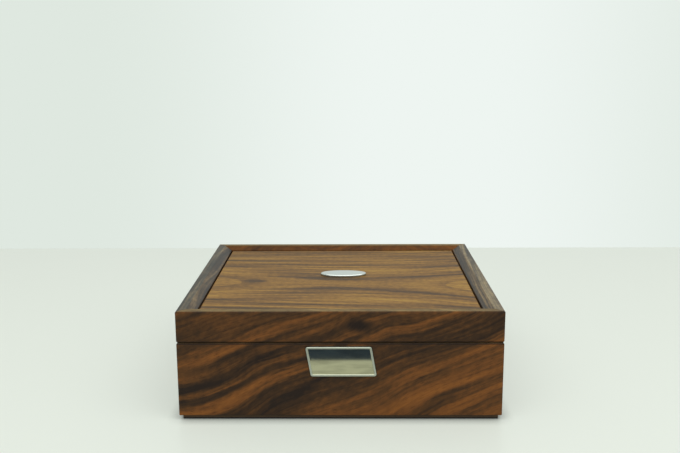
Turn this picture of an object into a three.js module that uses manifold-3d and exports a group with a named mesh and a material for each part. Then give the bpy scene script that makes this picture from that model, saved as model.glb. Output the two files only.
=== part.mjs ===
// A walnut display case for folding knives: a mitred box with a framed lid on two stop hinges,
// a skewed metal plate on its front, an oval plaque on its lid and a lined insert of eight bays.
// Millimetres. X runs along the front, Y from front to back, Z up from the surface it stands on.
import * as THREE from "three";
import { mergeVertices } from "three/addons/utils/BufferGeometryUtils.js";
import Module from "manifold-3d";

const wasm = await Module();
wasm.setup();

// Outer sizes of the closed case
const caseWidth = 250;
const caseDepth = 230;
const boardHeight = 58.8;
const lidHeight = 25;
const seamGap = 0.3;
const wallThickness = 14.2;

// Corners and edges of the boards
const mitreGap = 0.1;
const edgeEase = 0.6;
const lidChamferRun = 1;
const lidChamferRise = 1.4;

// Top of the lid rails: a flat, then a bevel that falls to the panel
const railFlat = 7.1;
const bevelDrop = 3;

// Framed panel of the lid
const tongueThickness = 4;
const tongueLength = 4.5;
const grooveClearance = 0.15;
const grooveEndRoom = 0.7;
const fieldRise = 3;
const fieldBelowBevel = 0.4;
const fieldEase = 0.4;
const shadowGap = 1.3;

// Glue lines and other fits between pieces that do not move
const glueLine = 0.1;
const softClearance = 0.3;

// Bottom board and the felt under it, both set in from the outer faces
const bottomInset = 2.5;
const feltThickness = 0.9;
const bottomThickness = 2.4;

// Skewed plate, let into the front board
const plateWidth = 50.8;
const plateHeight = 23.8;
const plateSkew = 4.2;
const plateCornerRadius = 1.8;
const plateRim = 1.7;
const plateThickness = 1.6;
const plateFaceRecess = 0.5;
const platePocketDepth = 0.8;
const platePocketGap = 0.4;
const plateBelowRim = 2.6;
const plateOffset = 0.8;

// Oval plaque on the lid panel and the two studs behind it
const plaqueWidth = 40.4;
const plaqueDepth = 18;
const plaqueThickness = 2.2;
const plaqueBevel = 0.5;
const plaqueOffsetX = 2;
const plaqueOffsetY = 5;
const studRadius = 1;
const studLength = 3;
const studSpacing = 24;
const studClearance = 0.1;

// Two stop hinges at the back
const hingeInset = 48;
const hingeLength = 38;
const centreKnuckleLength = 16;
const knuckleRadius = 2.6;
const knuckleStandoff = 0.3;
const knuckleSideGap = 0.25;
const pinRadius = 1.2;
const pinClearance = 0.05;
const leafThickness = 1.5;
const leafWidth = 11;
const mortiseClearance = 0.1;
const openAngle = 95;
const stopPlay = 1;
const heelReach = 2.4;

// Countersunk screws of the hinges
const screwFromEnd = 7;
const screwFromBack = 6;
const screwHeadRadius = 2.3;
const screwShankRadius = 1.2;
const screwLength = 9;
const screwSlotWidth = 0.6;
const screwSlotDepth = 0.6;
const screwClearance = 0.12;
const screwTipLength = 2;
const screwSink = 0.05;

// Round magnets in the front rims of the box and the lid
const magnetRadius = 4;
const magnetThickness = 3;
const magnetInset = 30;
const magnetClearance = 0.1;
const magnetSink = 0.05;

// Insert: a floor on two bearers, liner boards, crossed dividers and a cushion in each bay
const bearerHeight = 22;
const bearerThickness = 8;
const floorThickness = 3;
const linerThickness = 2.4;
const linerProud = 3;
const linerEase = 0.8;
const dividerThickness = 3;
const dividerHeight = 27;
const notchClearance = 0.3;
const bayColumns = 2;
const bayRows = 4;
const cushionHeight = 13;
const cushionCrown = 3;
const cushionDrawIn = 1.6;
const cushionClearance = 0.5;

// Padded lining under the lid panel
const liningThickness = 5;
const liningCrown = 1.8;
const liningDrawIn = 1.2;

// Form of the padded pieces: the share of their draw-in that is left at half height, and at mid length
const padWaist = 0.3;
const padMiddle = 0.4;

// How far a cutter stands out of the face that it enters
const cutRoom = 1;

// Facets of the round and the padded pieces
const knuckleSides = 24;
const screwSides = 16;
const magnetSides = 32;
const plaqueSides = 40;
const cornerSteps = 4;
const cushionFacets = [6, 4];
const liningFacets = [8, 8];

// Levels above the surface that the case stands on
const bottomBoardZ = feltThickness + glueLine;
const boardZ = bottomBoardZ + bottomThickness + glueLine;
const rimZ = boardZ + boardHeight;
const lidZ = rimZ + seamGap;
const insideZ = boardZ + glueLine;
const floorZ = insideZ + bearerHeight + glueLine;
const bayZ = floorZ + floorThickness + glueLine;

// Clear plan inside the walls, and inside the liners
const innerWidth = caseWidth - 2 * wallThickness;
const innerDepth = caseDepth - 2 * wallThickness;
const bayWidthInAll = innerWidth - 2 * (linerThickness + softClearance);
const bayDepthInAll = innerDepth - 2 * (linerThickness + softClearance);
const bayWidth = (bayWidthInAll - (bayColumns - 1) * dividerThickness) / bayColumns;
const bayDepth = (bayDepthInAll - (bayRows - 1) * dividerThickness) / bayRows;

// Levels inside the lid, above its lower edge
const fieldTop = lidHeight - bevelDrop - fieldBelowBevel;
const tongueBottom = fieldTop - fieldRise - tongueThickness;
const grooveBottom = tongueBottom - grooveClearance;
const grooveTop = tongueBottom + tongueThickness + grooveClearance;
const grooveDepth = tongueLength + grooveEndRoom;

// Hinge line: behind the back face, at the middle of the seam
const hingeLineY = caseDepth / 2 + knuckleStandoff + knuckleRadius;
const hingeLineZ = rimZ + seamGap / 2;
const hingeX = caseWidth / 2 - hingeInset;
const screwX = hingeLength / 2 - screwFromEnd;
const magnetX = caseWidth / 2 - magnetInset;

const walnut = { color: 0x5a3a22, roughness: 0.5, metalness: 0 };
const panelWalnut = { color: 0x8a6d4a, roughness: 0.5, metalness: 0 };
const stainedBoard = { color: 0x1d1511, roughness: 0.8, metalness: 0 };
const plywood = { color: 0xa98a5f, roughness: 0.8, metalness: 0 };
const felt = { color: 0x171513, roughness: 1, metalness: 0 };
const velvet = { color: 0x24382c, roughness: 0.95, metalness: 0 };
const satinSteel = { color: 0xa9aea6, roughness: 0.3, metalness: 1 };
const polishedSteel = { color: 0xd5dadb, roughness: 0.12, metalness: 1 };
const hingeSteel = { color: 0xa6a7a3, roughness: 0.35, metalness: 1 };
const nickel = { color: 0xb9bcbd, roughness: 0.2, metalness: 1 };

function makeMesh(name, geometry, finish) {
  const mesh = new THREE.Mesh(geometry, new THREE.MeshStandardMaterial(finish));
  mesh.name = name;
  return mesh;
}

// A closed geometry as a solid that can be joined and cut
function toSolid(geometry) {
  const bare = geometry.index ? geometry.toNonIndexed() : geometry.clone();
  bare.deleteAttribute("normal");
  bare.deleteAttribute("uv");
  const merged = mergeVertices(bare, 1e-4);
  return new wasm.Manifold(
    new wasm.Mesh({
      numProp: 3,
      vertProperties: new Float32Array(merged.attributes.position.array),
      triVerts: new Uint32Array(merged.index.array),
    }),
  );
}

function toGeometry(solid) {
  const { vertProperties, triVerts } = solid.getMesh();
  const geometry = new THREE.BufferGeometry();
  geometry.setAttribute("position", new THREE.BufferAttribute(vertProperties, 3));
  geometry.setIndex(new THREE.BufferAttribute(triVerts, 1));
  geometry.computeVertexNormals();
  return geometry;
}

function cut(geometry, cutters) {
  return toGeometry(cutters.reduce((rest, cutter) => rest.subtract(toSolid(cutter)), toSolid(geometry)));
}

function join(geometries) {
  const [first, ...others] = geometries.map(toSolid);
  return toGeometry(others.reduce((whole, piece) => whole.add(piece), first));
}

// A box from its lowest to its highest corner
function boxBetween(low, high) {
  const size = high.map((value, axis) => value - low[axis]);
  const middle = high.map((value, axis) => (value + low[axis]) / 2);
  return new THREE.BoxGeometry(...size).translate(...middle);
}

// A cylinder along Z from one level to another
function uprightCylinder(radius, low, high, sides) {
  const cylinder = new THREE.CylinderGeometry(radius, radius, high - low, sides);
  return cylinder.rotateX(Math.PI / 2).translate(0, 0, (low + high) / 2);
}

// A profile of [radius, along] points, from its low end to its high end, turned about Y
function turned(profile, sides) {
  return new THREE.LatheGeometry(profile.map(([radius, along]) => new THREE.Vector2(radius, along)), sides);
}

// Two levels, the lower one first
function span(one, other) {
  return [Math.min(one, other), Math.max(one, other)];
}

// A board with mitred ends, its outer face at y = 0 and its profile given as [depth inwards, height]
function mitredBoard(profile, length) {
  const section = new THREE.Shape(profile.map(([inwards, height]) => new THREE.Vector2(inwards, height)));
  const board = new THREE.ExtrudeGeometry(section, { depth: 1, bevelEnabled: false });
  const place = board.attributes.position;
  for (let i = 0; i < place.count; i++) {
    const inwards = place.getX(i);
    const height = place.getY(i);
    const side = place.getZ(i) > 0.5 ? 1 : -1;
    place.setXYZ(i, side * (length / 2 - inwards - mitreGap / Math.SQRT2), inwards, height);
  }
  return board;
}

// The four sides of a mitred frame: where the middle of each outer face lies and how it turns
function frameSides(width, depth) {
  return [
    { side: "front", length: width, x: 0, y: -depth / 2, turn: 0 },
    { side: "right", length: depth, x: width / 2, y: 0, turn: Math.PI / 2 },
    { side: "back", length: width, x: 0, y: depth / 2, turn: Math.PI },
    { side: "left", length: depth, x: -width / 2, y: 0, turn: -Math.PI / 2 },
  ];
}

function placeSide(mesh, { x, y, turn }) {
  mesh.position.set(x, y, 0);
  mesh.rotation.z = turn;
  return mesh;
}

// A parallelogram whose lower edge lies further right, with rounded corners, centred on the origin
function skewedOutline(width, height, skew, radius) {
  const corners = [
    new THREE.Vector2(-(width - skew) / 2, -height / 2),
    new THREE.Vector2((width + skew) / 2, -height / 2),
    new THREE.Vector2((width - skew) / 2, height / 2),
    new THREE.Vector2(-(width + skew) / 2, height / 2),
  ];
  const outline = new THREE.Shape();
  corners.forEach((corner, index) => {
    const before = corners[(index + 3) % 4];
    const after = corners[(index + 1) % 4];
    const entry = corner.clone().add(before.clone().sub(corner).setLength(radius));
    const leave = corner.clone().add(after.clone().sub(corner).setLength(radius));
    if (index === 0) outline.moveTo(entry.x, entry.y);
    else outline.lineTo(entry.x, entry.y);
    outline.quadraticCurveTo(corner.x, corner.y, leave.x, leave.y);
  });
  outline.closePath();
  return outline;
}

// The outline extruded along X-Z and standing upright, its back at y = 0 and its front at y = -thickness
function uprightPlate(outline, thickness) {
  const plate = new THREE.ExtrudeGeometry(outline, {
    depth: thickness,
    bevelEnabled: false,
    curveSegments: cornerSteps,
  });
  return plate.rotateX(Math.PI / 2);
}

// A pad with a flat underside, a crown on top and sides drawn in towards its corners and upper edge
function crownedPad(width, depth, edgeHeight, crown, drawIn, facets) {
  const pad = new THREE.BoxGeometry(width, depth, edgeHeight, ...facets, 2);
  const place = pad.attributes.position;
  for (let i = 0; i < place.count; i++) {
    const across = (2 * place.getX(i)) / width;
    const along = (2 * place.getY(i)) / depth;
    const level = place.getZ(i) / edgeHeight + 0.5;
    const bulge = (1 - across ** 4) * (1 - along ** 4);
    const waist = drawIn * (padWaist + (1 - padWaist) * Math.abs(2 * level - 1));
    const pullX = waist * (padMiddle + (1 - padMiddle) * along ** 2);
    const pullY = waist * (padMiddle + (1 - padMiddle) * across ** 2);
    place.setX(i, place.getX(i) - across * pullX);
    place.setY(i, place.getY(i) - along * pullY);
    place.setZ(i, level * (edgeHeight + crown * bulge));
  }
  return pad;
}

// The box
function boardProfile() {
  return [
    [edgeEase, 0],
    [wallThickness, 0],
    [wallThickness, boardHeight - edgeEase],
    [wallThickness - edgeEase, boardHeight],
    [edgeEase, boardHeight],
    [0, boardHeight - edgeEase],
    [0, edgeEase],
  ];
}

function plateCentre() {
  return [plateOffset, boardHeight - plateBelowRim - plateHeight / 2];
}

function platePocket() {
  const room = 2 * platePocketGap;
  const outline = skewedOutline(plateWidth + room, plateHeight + room, plateSkew, plateCornerRadius);
  const [x, z] = plateCentre();
  return uprightPlate(outline, 2 * platePocketDepth).translate(x, platePocketDepth, z);
}

// A blind hole for a magnet in a rim at the level of its mouth, which looks up (1) or down (-1)
function magnetBore(x, mouth, facing) {
  const end = mouth - facing * (magnetThickness + magnetSink + magnetClearance);
  const ends = span(end, mouth + facing * cutRoom);
  const bore = uprightCylinder(magnetRadius + magnetClearance, ...ends, magnetSides);
  return bore.translate(x, wallThickness / 2, 0);
}

// The recess for a hinge leaf and the holes for its two screws, in the frame of a back board or rail
function hingeCuts(x, edge, facing) {
  const half = hingeLength / 2 + mortiseClearance;
  const [low, high] = span(edge - facing * (leafThickness + mortiseClearance), edge + facing * cutRoom);
  const recess = boxBetween([x - half, -cutRoom, low], [x + half, leafWidth + mortiseClearance, high]);
  const depth = screwLength + screwSink + screwClearance;
  const holes = [-1, 1].map((side) => {
    const ends = span(edge, edge - facing * depth);
    const hole = uprightCylinder(screwShankRadius + screwClearance, ...ends, screwSides);
    return hole.translate(x + side * screwX, screwFromBack, 0);
  });
  return [recess, ...holes];
}

function makeBox() {
  const box = new THREE.Group();
  box.position.z = boardZ;
  for (const where of frameSides(caseWidth, caseDepth)) {
    let board = mitredBoard(boardProfile(), where.length);
    if (where.side === "front") {
      const bores = [-magnetX, magnetX].map((x) => magnetBore(x, boardHeight, 1));
      board = cut(board, [platePocket(), ...bores]);
    }
    if (where.side === "back") {
      board = cut(board, [...hingeCuts(-hingeX, boardHeight, 1), ...hingeCuts(hingeX, boardHeight, 1)]);
    }
    box.add(placeSide(makeMesh("base_" + where.side + "_board", board, walnut), where));
  }
  return box;
}

function makeBottom() {
  const bottom = new THREE.Group();
  const halfWidth = caseWidth / 2 - bottomInset;
  const halfDepth = caseDepth / 2 - bottomInset;
  const feltSheet = boxBetween([-halfWidth, -halfDepth, 0], [halfWidth, halfDepth, feltThickness]);
  const boardTop = bottomBoardZ + bottomThickness;
  const board = boxBetween([-halfWidth, -halfDepth, bottomBoardZ], [halfWidth, halfDepth, boardTop]);
  bottom.add(makeMesh("base_felt", feltSheet, felt));
  bottom.add(makeMesh("bottom_board", board, stainedBoard));
  return bottom;
}

function makeFrontPlate() {
  const slant = Math.atan2(plateSkew, plateHeight);
  const faceHeight = plateHeight - 2 * plateRim;
  const faceWidth = plateWidth - (2 * plateRim) / Math.cos(slant);
  const faceSkew = (plateSkew * faceHeight) / plateHeight;
  const outer = skewedOutline(plateWidth, plateHeight, plateSkew, plateCornerRadius);
  const inner = skewedOutline(faceWidth, faceHeight, faceSkew, plateCornerRadius / 2);
  const recess = uprightPlate(inner, 2 * plateFaceRecess).translate(0, plateFaceRecess - plateThickness, 0);
  const plate = cut(uprightPlate(outer, plateThickness), [recess]);
  const mesh = makeMesh("front_plate", plate, satinSteel);
  const [x, z] = plateCentre();
  mesh.position.set(x, platePocketDepth - glueLine - caseDepth / 2, boardZ + z);
  return mesh;
}

function makeMagnets(name, rim, facing) {
  return [-1, 1].map((side) => {
    const magnet = uprightCylinder(magnetRadius, ...span(0, -facing * magnetThickness), magnetSides);
    const mesh = makeMesh(name + (side < 0 ? "_left" : "_right"), magnet, nickel);
    mesh.position.set(side * magnetX, (wallThickness - caseDepth) / 2, rim - facing * magnetSink);
    return mesh;
  });
}

// The lid
function railProfile() {
  const bevelFoot = lidHeight - bevelDrop;
  const grooveWall = wallThickness - grooveDepth;
  return [
    [lidChamferRun, 0],
    [wallThickness - edgeEase, 0],
    [wallThickness, edgeEase],
    [wallThickness, grooveBottom],
    [grooveWall, grooveBottom],
    [grooveWall, grooveTop],
    [wallThickness, grooveTop],
    [wallThickness, bevelFoot],
    [railFlat, lidHeight],
    [edgeEase, lidHeight],
    [0, lidHeight - edgeEase],
    [0, lidChamferRise],
  ];
}

function makePanel() {
  const tongueWidth = innerWidth / 2 + tongueLength;
  const tongueDepth = innerDepth / 2 + tongueLength;
  const tongueTop = tongueBottom + tongueThickness;
  const tongue = boxBetween(
    [-tongueWidth, -tongueDepth, tongueBottom],
    [tongueWidth, tongueDepth, tongueTop],
  );
  const halfWidth = innerWidth / 2 - shadowGap;
  const halfDepth = innerDepth / 2 - shadowGap;
  const plan = new THREE.Shape([
    new THREE.Vector2(-halfWidth, -halfDepth),
    new THREE.Vector2(halfWidth, -halfDepth),
    new THREE.Vector2(halfWidth, halfDepth),
    new THREE.Vector2(-halfWidth, halfDepth),
  ]);
  const fieldFoot = tongueTop - tongueThickness / 2;
  const field = new THREE.ExtrudeGeometry(plan, {
    depth: fieldTop - fieldFoot - 2 * fieldEase,
    bevelThickness: fieldEase,
    bevelSize: fieldEase,
    bevelOffset: -fieldEase,
    bevelSegments: 1,
  }).translate(0, 0, fieldFoot + fieldEase);
  const holeLow = fieldTop - studLength - studClearance;
  const holes = [-1, 1].map((side) => {
    const hole = uprightCylinder(studRadius + studClearance, holeLow, fieldTop + cutRoom, screwSides);
    return hole.translate(plaqueOffsetX + (side * studSpacing) / 2, plaqueOffsetY, 0);
  });
  return cut(join([tongue, field]), holes);
}

function makePlaque() {
  const plaque = new THREE.Group();
  plaque.position.set(plaqueOffsetX, plaqueOffsetY, fieldTop + glueLine);
  const oval = new THREE.Shape();
  oval.absellipse(0, 0, plaqueWidth / 2, plaqueDepth / 2, 0, 2 * Math.PI);
  const body = new THREE.ExtrudeGeometry(oval, {
    depth: plaqueThickness - 2 * plaqueBevel,
    bevelThickness: plaqueBevel,
    bevelSize: plaqueBevel,
    bevelOffset: -plaqueBevel,
    bevelSegments: 1,
    curveSegments: plaqueSides,
  }).translate(0, 0, plaqueBevel);
  plaque.add(makeMesh("lid_plaque", body, polishedSteel));
  for (const side of [-1, 1]) {
    const stud = uprightCylinder(studRadius, -studLength, -glueLine / 2, screwSides);
    const mesh = makeMesh("plaque_stud" + (side < 0 ? "_left" : "_right"), stud, polishedSteel);
    mesh.position.x = (side * studSpacing) / 2;
    plaque.add(mesh);
  }
  return plaque;
}

function makeLining() {
  const width = innerWidth - 2 * softClearance;
  const depth = innerDepth - 2 * softClearance;
  const edge = liningThickness - liningCrown;
  const lining = crownedPad(width, depth, edge, liningCrown, liningDrawIn, liningFacets);
  const mesh = makeMesh("lid_lining", lining, velvet);
  mesh.rotation.x = Math.PI;
  mesh.position.z = tongueBottom - softClearance;
  return mesh;
}

function makeLid() {
  const lid = new THREE.Group();
  lid.position.z = lidZ;
  for (const where of frameSides(caseWidth, caseDepth)) {
    let rail = mitredBoard(railProfile(), where.length);
    if (where.side === "front") rail = cut(rail, [-magnetX, magnetX].map((x) => magnetBore(x, 0, -1)));
    if (where.side === "back") rail = cut(rail, [...hingeCuts(-hingeX, 0, -1), ...hingeCuts(hingeX, 0, -1)]);
    lid.add(placeSide(makeMesh("lid_" + where.side + "_rail", rail, walnut), where));
  }
  lid.add(makeMesh("lid_panel", makePanel(), panelWalnut));
  lid.add(makePlaque());
  lid.add(makeLining());
  return lid;
}

// The insert
function linerProfile(height) {
  return [
    [0, 0],
    [linerThickness, 0],
    [linerThickness, height - linerEase],
    [linerThickness - linerEase, height],
    [linerEase, height],
    [0, height - linerEase],
  ];
}

// A divider board on edge along X, with a slot at each crossing cut halfway from its upper or lower edge
function notchedBoard(length, crossings, fromTop) {
  const half = (dividerThickness + 2 * notchClearance) / 2;
  const edge = fromTop ? dividerHeight : 0;
  const slotEnd = dividerHeight / 2 + (fromTop ? -notchClearance : notchClearance);
  const notched = crossings.flatMap((x) => [
    [x - half, edge],
    [x - half, slotEnd],
    [x + half, slotEnd],
    [x + half, edge],
  ]);
  const far = dividerHeight - edge;
  const end = length / 2;
  const points = [[-end, far], [-end, edge], ...notched, [end, edge], [end, far]];
  const outline = new THREE.Shape(points.map(([x, z]) => new THREE.Vector2(x, z)));
  const board = new THREE.ExtrudeGeometry(outline, { depth: dividerThickness, bevelEnabled: false });
  return board.rotateX(Math.PI / 2).translate(0, dividerThickness / 2, 0);
}

function betweenBays(count, pitch) {
  return Array.from({ length: count - 1 }, (_, index) => (index + 1 - count / 2) * pitch);
}

function bayCentres(count, pitch) {
  return Array.from({ length: count }, (_, index) => (index - (count - 1) / 2) * pitch);
}

function makeDividers() {
  const dividers = new THREE.Group();
  dividers.position.z = bayZ;
  const columnLines = betweenBays(bayColumns, bayWidth + dividerThickness);
  const rowLines = betweenBays(bayRows, bayDepth + dividerThickness);
  columnLines.forEach((x, index) => {
    const board = notchedBoard(bayDepthInAll - 2 * softClearance, rowLines, true);
    const mesh = makeMesh("long_divider_" + (index + 1), board, velvet);
    mesh.position.x = x;
    mesh.rotation.z = Math.PI / 2;
    dividers.add(mesh);
  });
  rowLines.forEach((y, index) => {
    const board = notchedBoard(bayWidthInAll - 2 * softClearance, columnLines, false);
    const mesh = makeMesh("cross_divider_" + (index + 1), board, velvet);
    mesh.position.y = y;
    dividers.add(mesh);
  });
  return dividers;
}

function makeCushions() {
  const cushions = new THREE.Group();
  cushions.position.z = floorZ + floorThickness + softClearance;
  const width = bayWidth - 2 * cushionClearance;
  const depth = bayDepth - 2 * cushionClearance;
  bayCentres(bayRows, bayDepth + dividerThickness).forEach((y, row) => {
    bayCentres(bayColumns, bayWidth + dividerThickness).forEach((x, column) => {
      const edge = cushionHeight - cushionCrown;
      const pad = crownedPad(width, depth, edge, cushionCrown, cushionDrawIn, cushionFacets);
      const mesh = makeMesh("knife_cushion_" + (row + 1) + "_" + (column + 1), pad, velvet);
      mesh.position.set(x, y, 0);
      cushions.add(mesh);
    });
  });
  return cushions;
}

function makeInsert() {
  const insert = new THREE.Group();
  const halfWidth = innerWidth / 2 - softClearance;
  const halfDepth = innerDepth / 2 - softClearance;
  const floorTop = floorZ + floorThickness;
  const floor = boxBetween([-halfWidth, -halfDepth, floorZ], [halfWidth, halfDepth, floorTop]);
  insert.add(makeMesh("insert_floor", floor, plywood));
  for (const side of [-1, 1]) {
    const bearer = boxBetween([0, -halfDepth, 0], [bearerThickness, halfDepth, bearerHeight]);
    const mesh = makeMesh("floor_bearer" + (side < 0 ? "_left" : "_right"), bearer, plywood);
    mesh.position.set(side < 0 ? -halfWidth : halfWidth - bearerThickness, 0, insideZ);
    insert.add(mesh);
  }
  const liners = new THREE.Group();
  liners.position.z = bayZ;
  for (const where of frameSides(innerWidth - 2 * softClearance, innerDepth - 2 * softClearance)) {
    const liner = mitredBoard(linerProfile(rimZ + linerProud - bayZ), where.length);
    liners.add(placeSide(makeMesh("liner_" + where.side, liner, velvet), where));
  }
  insert.add(liners, makeDividers(), makeCushions());
  return insert;
}

// The hinges, in their own frame: X along the pin, origin on the hinge line, the case towards -Y
const backFace = -(knuckleStandoff + knuckleRadius);
const boreRadius = pinRadius + pinClearance;
const knuckleWallMiddle = (boreRadius + knuckleRadius) / 2;
const outerKnuckleLength = (hingeLength - centreKnuckleLength) / 2 - knuckleSideGap;
const outerKnuckleX = (hingeLength - outerKnuckleLength) / 2;
const centreKnuckle = [{ length: centreKnuckleLength, x: 0 }];
const outerKnuckles = [-1, 1].map((side) => ({ length: outerKnuckleLength, x: side * outerKnuckleX }));

function knuckleTube({ length, x }) {
  const half = length / 2;
  const profile = [
    [boreRadius, -half],
    [knuckleRadius, -half],
    [knuckleRadius, half],
    [boreRadius, half],
    [boreRadius, -half],
  ];
  return turned(profile, knuckleSides).rotateZ(-Math.PI / 2).translate(x, 0, 0);
}

// Room for the other leaf's knuckle to turn in
function knuckleRoom({ length, x }) {
  const room = new THREE.CylinderGeometry(-backFace, -backFace, length + 2 * knuckleSideGap, knuckleSides);
  return room.rotateZ(-Math.PI / 2).translate(x, 0, 0);
}

// A heel behind the knuckles: a wedge of a ring, its angles counted upwards from straight back.
// The heels of the two leaves meet when the lid is open.
function heelBar(length, fromDegrees, toDegrees) {
  const first = THREE.MathUtils.degToRad(fromDegrees);
  const last = THREE.MathUtils.degToRad(toDegrees);
  const wedge = new THREE.Shape();
  wedge.absarc(0, 0, knuckleRadius + heelReach, first, last, false);
  wedge.absarc(0, 0, knuckleWallMiddle, last, first, true);
  wedge.closePath();
  const options = { depth: length, bevelEnabled: false, curveSegments: cornerSteps };
  const bar = new THREE.ExtrudeGeometry(wedge, options);
  // The section's own X points back from the case, its Y points up and its Z lies along the pin
  const alongPin = new THREE.Matrix4().set(0, 0, 1, -length / 2, 1, 0, 0, 0, 0, 1, 0, 0, 0, 0, 0, 1);
  return bar.applyMatrix4(alongPin);
}

// A countersunk hole through a leaf whose screwed face is at z = 0 and looks up
function countersink() {
  const hole = screwShankRadius + screwClearance;
  const head = screwHeadRadius + screwClearance;
  const profile = [
    [0, -leafThickness - cutRoom],
    [hole, -leafThickness - cutRoom],
    [hole, hole - head],
    [head, 0],
    [head, cutRoom],
    [0, cutRoom],
  ];
  return turned(profile, screwSides).rotateX(Math.PI / 2);
}

// The leaf let into the box has the outer knuckles, and the leaf let into the lid has the centre one
function makeLeaf(ofLid) {
  const up = ofLid ? 1 : -1;
  const [low, high] = span((up * seamGap) / 2, up * (seamGap / 2 + leafThickness));
  const plate = boxBetween(
    [-hingeLength / 2, backFace - leafWidth, low],
    [hingeLength / 2, -knuckleWallMiddle, high],
  );
  const meeting = (openAngle + stopPlay) / 2;
  const heel = ofLid ? heelBar(centreKnuckleLength, meeting, 90) : heelBar(hingeLength, -90, -meeting);
  const own = ofLid ? centreKnuckle : outerKnuckles;
  const others = ofLid ? outerKnuckles : centreKnuckle;
  const holes = [-1, 1].map((side) => {
    const hole = ofLid ? countersink().rotateX(Math.PI) : countersink();
    return hole.translate(side * screwX, backFace - screwFromBack, (up * seamGap) / 2);
  });
  const cleared = cut(join([plate, heel]), [...others.map(knuckleRoom), ...holes]);
  return join([cleared, ...own.map(knuckleTube)]);
}

// A slotted countersunk screw, its head flush with z = 0 and its tip downwards
function makeScrew() {
  const profile = [
    [0, -screwLength],
    [screwShankRadius, screwTipLength - screwLength],
    [screwShankRadius, screwShankRadius - screwHeadRadius],
    [screwHeadRadius, 0],
    [0, 0],
  ];
  const half = screwSlotWidth / 2;
  const slot = boxBetween(
    [-2 * screwHeadRadius, -half, -screwSlotDepth],
    [2 * screwHeadRadius, half, screwSlotDepth],
  );
  return cut(turned(profile, screwSides).rotateX(Math.PI / 2), [slot]);
}

function makeHinge(side) {
  const hinge = new THREE.Group();
  const name = side < 0 ? "hinge_left" : "hinge_right";
  hinge.position.set(side * hingeX, hingeLineY, hingeLineZ);
  const pin = new THREE.CylinderGeometry(pinRadius, pinRadius, hingeLength, knuckleSides);
  hinge.add(makeMesh(name + "_pin", pin.rotateZ(-Math.PI / 2), hingeSteel));
  for (const ofLid of [false, true]) {
    const part = ofLid ? "_lid" : "_base";
    hinge.add(makeMesh(name + part + "_leaf", makeLeaf(ofLid), hingeSteel));
    for (const end of [-1, 1]) {
      const screw = makeMesh(name + part + "_screw" + (end < 0 ? "_a" : "_b"), makeScrew(), hingeSteel);
      const level = seamGap / 2 + screwSink;
      screw.position.set(end * screwX, backFace - screwFromBack, ofLid ? level : -level);
      if (ofLid) screw.rotation.x = Math.PI;
      hinge.add(screw);
    }
  }
  return hinge;
}

const displayCase = new THREE.Group();
displayCase.add(
  makeBottom(),
  makeBox(),
  makeFrontPlate(),
  ...makeMagnets("base_magnet", rimZ, 1),
  makeInsert(),
  makeLid(),
  ...makeMagnets("lid_magnet", lidZ, -1),
  makeHinge(-1),
  makeHinge(1),
);

export default displayCase;
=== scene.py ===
"""A walnut display case for folding knives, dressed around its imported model.

Metres, in the model's own frame: X along the front, Y from front to back, Z up from the table.
"""

import functools
import math

import bmesh
import bpy
from bpy.props import FloatProperty, FloatVectorProperty, PointerProperty
from mathutils import Matrix, Vector


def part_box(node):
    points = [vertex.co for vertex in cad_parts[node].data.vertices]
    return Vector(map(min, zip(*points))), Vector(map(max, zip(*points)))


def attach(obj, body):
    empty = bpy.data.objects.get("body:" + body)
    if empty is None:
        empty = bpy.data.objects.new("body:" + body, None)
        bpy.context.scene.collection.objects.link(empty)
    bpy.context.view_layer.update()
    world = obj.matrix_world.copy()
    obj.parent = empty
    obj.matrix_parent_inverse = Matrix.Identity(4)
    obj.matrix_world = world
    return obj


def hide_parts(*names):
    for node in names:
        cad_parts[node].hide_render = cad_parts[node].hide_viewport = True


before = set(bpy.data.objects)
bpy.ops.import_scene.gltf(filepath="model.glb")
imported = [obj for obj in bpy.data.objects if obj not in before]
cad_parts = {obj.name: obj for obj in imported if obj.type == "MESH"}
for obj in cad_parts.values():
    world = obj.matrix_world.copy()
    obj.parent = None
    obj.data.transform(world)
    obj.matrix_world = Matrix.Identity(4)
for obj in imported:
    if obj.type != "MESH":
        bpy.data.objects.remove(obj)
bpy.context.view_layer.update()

bl_info = {
    "name": "Knife Display Case",
    "version": (1, 0, 0),
    "blender": (4, 5, 0),
    "location": "View3D > Sidebar > Display Case",
    "description": "Walnut display case with a framed lid, a steel plate and a velvet insert",
    "category": "Add Mesh",
}

MM = 0.001
# Width over which a flat face is shaded flat
BROAD = 1.0 * MM
# How far the painted shade along the seam reaches up and down
SEAM_SHADE = 1.5 * MM
# Length and start of the long wave in the walnut's fibres, in millimetres and radians
WAVE_LENGTH = 124
WAVE_START = 0.14
# Layers of the walnut's tone that are at least this wide, in millimetres, follow its rings
BROAD_LAYER = 5
# Scale at which a Wave Texture draws its bands one unit apart
ONE_BAND = math.pi / 10


# Colours and nodes


def linear(hex_code):
    """The linear colour of an sRGB hex value such as #4a3020, with alpha."""
    parts = [int(hex_code[i : i + 2], 16) / 255 for i in (1, 3, 5)]
    curve = [c / 12.92 if c <= 0.04045 else ((c + 0.055) / 1.055) ** 2.4 for c in parts]
    return (*curve, 1.0)


def shade(colour, share):
    """A linear colour made darker, or paler where share is over 1."""
    return (*(min(1.0, share * c) for c in colour[:3]), 1.0)


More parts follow.
